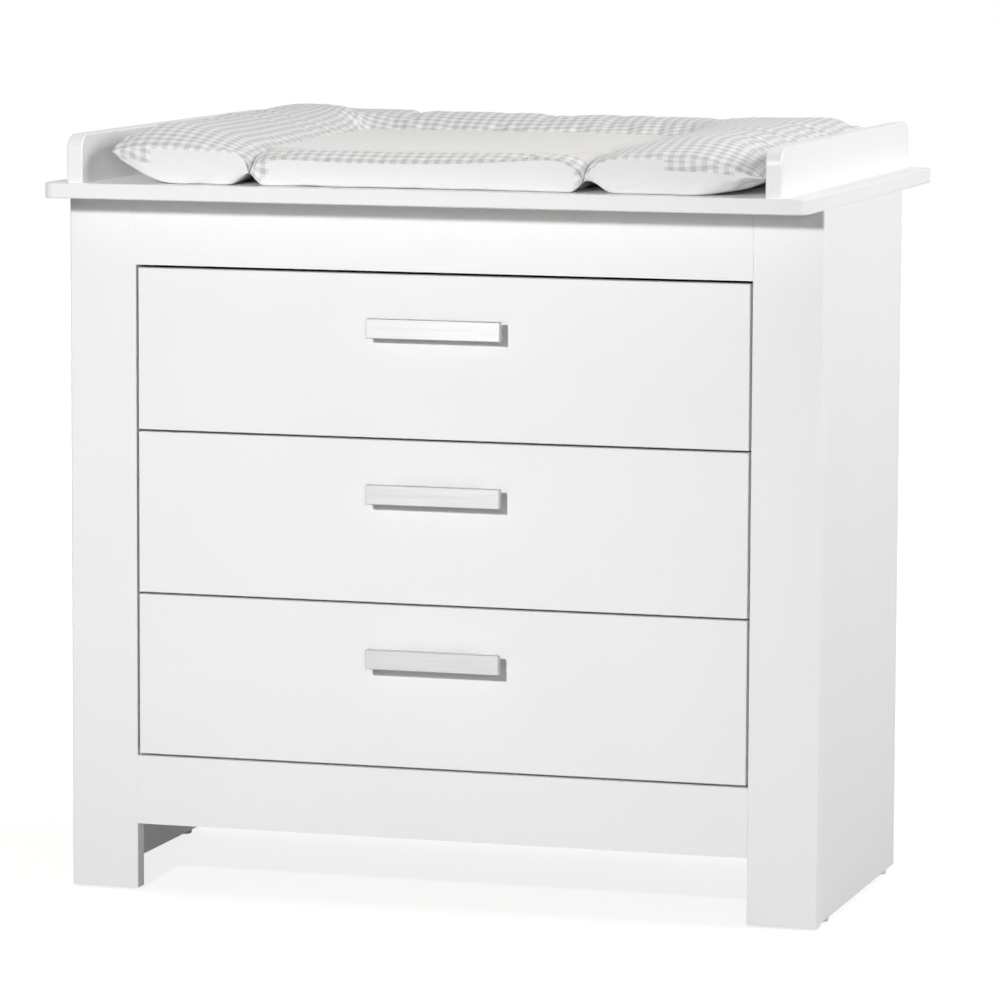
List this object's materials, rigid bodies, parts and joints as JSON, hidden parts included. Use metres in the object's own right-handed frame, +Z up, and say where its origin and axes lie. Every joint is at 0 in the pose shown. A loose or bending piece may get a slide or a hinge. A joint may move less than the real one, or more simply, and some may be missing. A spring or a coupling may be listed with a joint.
{
  "type": "changing table",
  "caption": "Chest of drawers with an overhanging padded changing top between two low side rails; the drawers run on rollers and the mat lifts off.",
  "frame": {"origin": "on the floor, under the middle of the changing board", "axes": "+X to the right seen from the front, -Y towards the user, +Z up"},
  "size_m": [0.97, 0.72, 0.967],
  "materials": {
    "white_foil_board": "white foil on particle board, satin",
    "white_painted_wood": "white lacquer, satin",
    "white_hardboard": "white lacquered hardboard",
    "white_plastic_strip": "matt white extrusion",
    "beech": "plain beech",
    "glide_plastic": "matt",
    "white_runner_steel": "white powder coat on sheet steel",
    "white_nylon": "natural nylon",
    "brushed_aluminium": "brushed along the bar",
    "gingham_cotton": "white and grey woven check",
    "cream_terry": "plain soft cloth"
  },
  "bodies": {
    "chest": {"back_joining_strip": "white_plastic_strip", "back_panel": "white_hardboard", "bottom_panel": "white_foil_board", "bottom_rail": "white_painted_wood", "cabinet_runners": "white_runner_steel", "changing_board": "white_foil_board", "floor_glides": "glide_plastic", "front_frame_tongues": "beech", "front_post_left": "white_painted_wood", "front_post_right": "white_painted_wood", "front_stretcher": "white_foil_board", "inner_upright_left": "white_foil_board", "inner_upright_right": "white_foil_board", "panel_tongues": "beech", "rear_stretcher": "white_foil_board", "side_panel_left": "white_foil_board", "side_panel_right": "white_foil_board", "side_rail_left": "white_painted_wood", "side_rail_right": "white_painted_wood", "side_rail_tongues": "beech", "top_rail": "white_painted_wood"},
    "mat": {"mat_centre": "cream_terry", "mat_left_bolster": "gingham_cotton", "mat_rear_bolster": "gingham_cotton", "mat_right_bolster": "gingham_cotton"},
    "drawer_1": {"drawer_1_back": "white_foil_board", "drawer_1_bottom": "white_hardboard", "drawer_1_front": "white_painted_wood", "drawer_1_handle": "brushed_aluminium", "drawer_1_runners": "white_runner_steel", "drawer_1_side_left": "white_foil_board", "drawer_1_side_right": "white_foil_board"},
    "drawer_1_front_rollers": {"drawer_1_front_rollers": "white_nylon"},
    "drawer_1_rear_rollers": {"drawer_1_rear_rollers": "white_nylon"},
    "drawer_2": {"drawer_2_back": "white_foil_board", "drawer_2_bottom": "white_hardboard", "drawer_2_front": "white_painted_wood", "drawer_2_handle": "brushed_aluminium", "drawer_2_runners": "white_runner_steel", "drawer_2_side_left": "white_foil_board", "drawer_2_side_right": "white_foil_board"},
    "drawer_2_front_rollers": {"drawer_2_front_rollers": "white_nylon"},
    "drawer_2_rear_rollers": {"drawer_2_rear_rollers": "white_nylon"},
    "drawer_3": {"drawer_3_back": "white_foil_board", "drawer_3_bottom": "white_hardboard", "drawer_3_front": "white_painted_wood", "drawer_3_handle": "brushed_aluminium", "drawer_3_runners": "white_runner_steel", "drawer_3_side_left": "white_foil_board", "drawer_3_side_right": "white_foil_board"},
    "drawer_3_front_rollers": {"drawer_3_front_rollers": "white_nylon"},
    "drawer_3_rear_rollers": {"drawer_3_rear_rollers": "white_nylon"}
  },
  "joints": [
    {"name": "drawer_1_slide", "type": "slide", "parent": "chest", "child": "drawer_1", "axis": [0, -1, 0], "range_m": [0, 0.3]},
    {"name": "drawer_1_front_roller_spin", "type": "hinge", "parent": "chest", "child": "drawer_1_front_rollers", "pos_m": [0, -0.225, 0.6258], "axis": [1, 0, 0], "range_deg": [0, 1815]},
    {"name": "drawer_1_rear_roller_spin", "type": "hinge", "parent": "drawer_1", "child": "drawer_1_rear_rollers", "pos_m": [0, 0.116, 0.6258], "axis": [1, 0, 0], "range_deg": [0, 1815]},
    {"name": "drawer_2_slide", "type": "slide", "parent": "chest", "child": "drawer_2", "axis": [0, -1, 0], "range_m": [0, 0.3]},
    {"name": "drawer_2_front_roller_spin", "type": "hinge", "parent": "chest", "child": "drawer_2_front_rollers", "pos_m": [0, -0.225, 0.4198], "axis": [1, 0, 0], "range_deg": [0, 1815]},
    {"name": "drawer_2_rear_roller_spin", "type": "hinge", "parent": "drawer_2", "child": "drawer_2_rear_rollers", "pos_m": [0, 0.116, 0.4198], "axis": [1, 0, 0], "range_deg": [0, 1815]},
    {"name": "drawer_3_slide", "type": "slide", "parent": "chest", "child": "drawer_3", "axis": [0, -1, 0], "range_m": [0, 0.3]},
    {"name": "drawer_3_front_roller_spin", "type": "hinge", "parent": "chest", "child": "drawer_3_front_rollers", "pos_m": [0, -0.225, 0.2138], "axis": [1, 0, 0], "range_deg": [0, 1815]},
    {"name": "drawer_3_rear_roller_spin", "type": "hinge", "parent": "drawer_3", "child": "drawer_3_rear_rollers", "pos_m": [0, 0.116, 0.2138], "axis": [1, 0, 0], "range_deg": [0, 1815]},
    {"name": "mat_lift", "type": "slide", "parent": "chest", "child": "mat", "axis": [0, 0, 1], "range_m": [0, 0.15]}
  ],
  "couplings": [
    {"joint": "drawer_1_front_roller_spin", "follows": "drawer_1_slide", "rad_per_m": 105.26},
    {"joint": "drawer_1_rear_roller_spin", "follows": "drawer_1_slide", "rad_per_m": 105.26},
    {"joint": "drawer_2_front_roller_spin", "follows": "drawer_2_slide", "rad_per_m": 105.26},
    {"joint": "drawer_2_rear_roller_spin", "follows": "drawer_2_slide", "rad_per_m": 105.26},
    {"joint": "drawer_3_front_roller_spin", "follows": "drawer_3_slide", "rad_per_m": 105.26},
    {"joint": "drawer_3_rear_roller_spin", "follows": "drawer_3_slide", "rad_per_m": 105.26}
  ]
}
